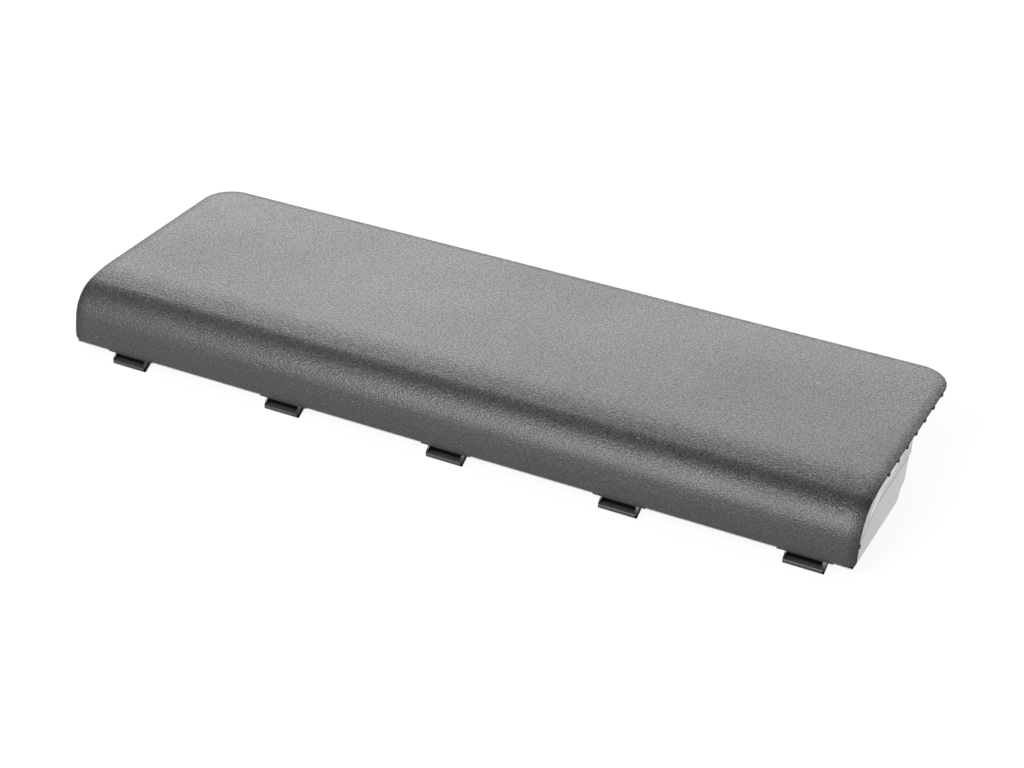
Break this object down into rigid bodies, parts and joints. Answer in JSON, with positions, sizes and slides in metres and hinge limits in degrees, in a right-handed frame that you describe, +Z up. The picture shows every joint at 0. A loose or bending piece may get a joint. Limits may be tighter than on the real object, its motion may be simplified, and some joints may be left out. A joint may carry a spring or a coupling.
{
  "type": "laptop battery",
  "caption": "Laptop battery with a rolled, grained cover that overhangs at the rear and a glossy tray with hooks along its front edge.",
  "frame": {"origin": "middle of the bounding box's bottom, level with the underside of the hooks", "axes": "+X along the battery to its right end seen from the hooked front, +Y from the hooks to the rear edge of the overhang, +Z up through the cover"},
  "size_m": [0.2804, 0.0932, 0.024],
  "materials": {
    "cover_plastic": "fine leather-like spark-eroded grain, matt",
    "tray_plastic": "smooth glossy moulding",
    "sleeve_film": "shrunk film",
    "nickel_strip": "rolled nickel strip",
    "fibre_card": "pressed fibre card",
    "foam": "closed-cell foam",
    "board_laminate": "lacquered glass-fibre laminate",
    "chip_resin": "moulded resin",
    "fuse_ceramic": "ceramic body",
    "capacitor_ceramic": "sintered ceramic",
    "connector_plastic": "glass-filled moulding",
    "contact_brass": "plated spring contacts",
    "bead_resin": "dipped resin",
    "lead_black": "soft insulated lead",
    "lead_red": "soft insulated lead"
  },
  "bodies": {
    "root": {"board": "board_laminate", "capacitors": "capacitor_ceramic", "card_1": "fibre_card", "card_2": "fibre_card", "card_3": "fibre_card", "cell_1": "sleeve_film", "cell_2": "sleeve_film", "cell_3": "sleeve_film", "cell_4": "sleeve_film", "cell_5": "sleeve_film", "cell_6": "sleeve_film", "cell_7": "sleeve_film", "cell_8": "sleeve_film", "connector_contacts": "contact_brass", "connector_housing": "connector_plastic", "end_card_left": "fibre_card", "end_card_right": "fibre_card", "end_pad_left": "foam", "end_pad_right": "foam", "fuse": "fuse_ceramic", "gauge_chip": "chip_resin", "lead_negative": "lead_black", "lead_positive": "lead_red", "link_1": "nickel_strip", "link_2": "nickel_strip", "link_3": "nickel_strip", "lower_case": "tray_plastic", "sense_resistor": "chip_resin", "strip_negative": "nickel_strip", "strip_positive": "nickel_strip", "thermistor": "bead_resin", "transistor_charge": "chip_resin", "transistor_discharge": "chip_resin", "upper_case": "cover_plastic"}
  },
  "joints": []
}
